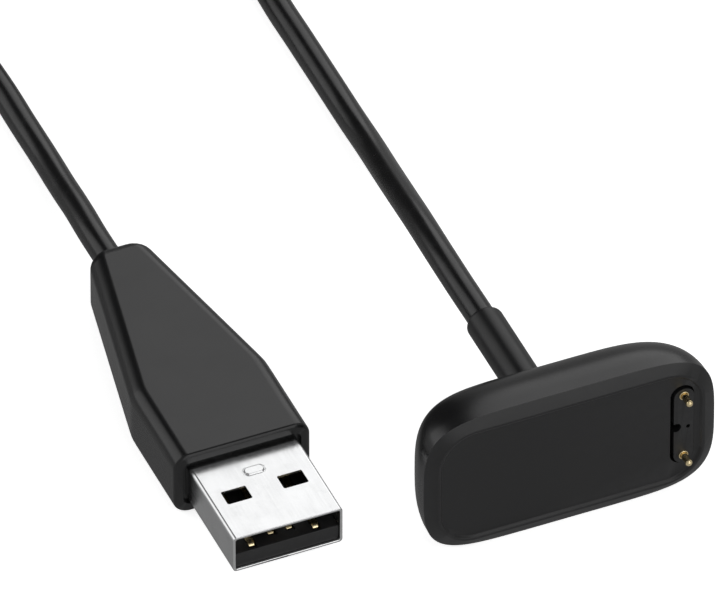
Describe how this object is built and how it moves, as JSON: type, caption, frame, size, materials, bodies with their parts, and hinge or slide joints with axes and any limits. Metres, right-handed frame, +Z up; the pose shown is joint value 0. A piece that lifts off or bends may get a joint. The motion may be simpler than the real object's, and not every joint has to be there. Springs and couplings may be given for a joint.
{
  "type": "fitness tracker charging lead",
  "caption": "Charging lead for a fitness tracker: a magnetic head with spring contacts on a thin round cable, and a type-A plug; spare cable is coiled.",
  "frame": {"origin": "on the surface that the lead lies on, under the middle of the box round the charging head, its contacts and its strain relief", "axes": "+X runs along the charging head towards its contacts, -Y is the side that meets the tracker, with the cable leaving along +Y, and +Z is up"},
  "size_m": [0.0526, 0.1454, 0.0172],
  "materials": {
    "head_plastic": "moulded, semi-gloss",
    "plate_plastic": "moulded, semi-gloss",
    "carrier_plastic": "moulded",
    "gold_plate": "gold plated, polished",
    "spring_steel": "drawn wire",
    "board": "solder mask",
    "magnet_nickel": "nickel plated",
    "yoke_steel": "stamped",
    "crimp_steel": "rolled",
    "core_red": "extruded",
    "core_black": "extruded",
    "relief_rubber": "moulded, satin",
    "cable_jacket": "extruded, satin",
    "tie_strap": "woven hook and loop",
    "grip_plastic": "moulded, fine satin texture",
    "inner_mould": "moulded",
    "shell_steel": "satin nickel plated",
    "tongue_plastic": "moulded"
  },
  "bodies": {
    "lead": {"head_rear_shell": "head_plastic", "head_face_plate": "plate_plastic", "pin_carrier": "carrier_plastic", "pogo_barrel_upper": "gold_plate", "pogo_barrel_lower": "gold_plate", "pogo_spring_upper": "spring_steel", "pogo_spring_lower": "spring_steel", "circuit_board": "board", "magnet_pin_end": "magnet_nickel", "magnet_far_end": "magnet_nickel", "magnet_yoke": "yoke_steel", "cable_anchor": "crimp_steel", "head_wire_red": "core_red", "head_wire_black": "core_black", "strain_relief": "relief_rubber", "cable_head_lead": "cable_jacket", "cable_coil": "cable_jacket", "coil_tie": "tie_strap", "cable_plug_lead": "cable_jacket", "plug_overmould": "grip_plastic", "plug_inner_mould": "inner_mould", "plug_shell": "shell_steel", "plug_tongue": "tongue_plastic", "plug_contact_1": "gold_plate", "plug_contact_2": "gold_plate", "plug_contact_3": "gold_plate", "plug_contact_4": "gold_plate", "plug_cable_clamp": "crimp_steel", "plug_wire_red": "core_red", "plug_wire_black": "core_black"},
    "plunger_upper": {"pogo_plunger_upper": "gold_plate"},
    "plunger_lower": {"pogo_plunger_lower": "gold_plate"}
  },
  "joints": [
    {"name": "plunger_upper_slide", "type": "slide", "parent": "lead", "child": "plunger_upper", "axis": [0, 1, 0], "range_m": [0, 0.0011], "stiffness_N_per_m": 400, "springref_m": -0.0006, "deforming": ["pogo_spring_upper"]},
    {"name": "plunger_lower_slide", "type": "slide", "parent": "lead", "child": "plunger_lower", "axis": [0, 1, 0], "range_m": [0, 0.0011], "stiffness_N_per_m": 400, "springref_m": -0.0006, "deforming": ["pogo_spring_lower"]}
  ]
}
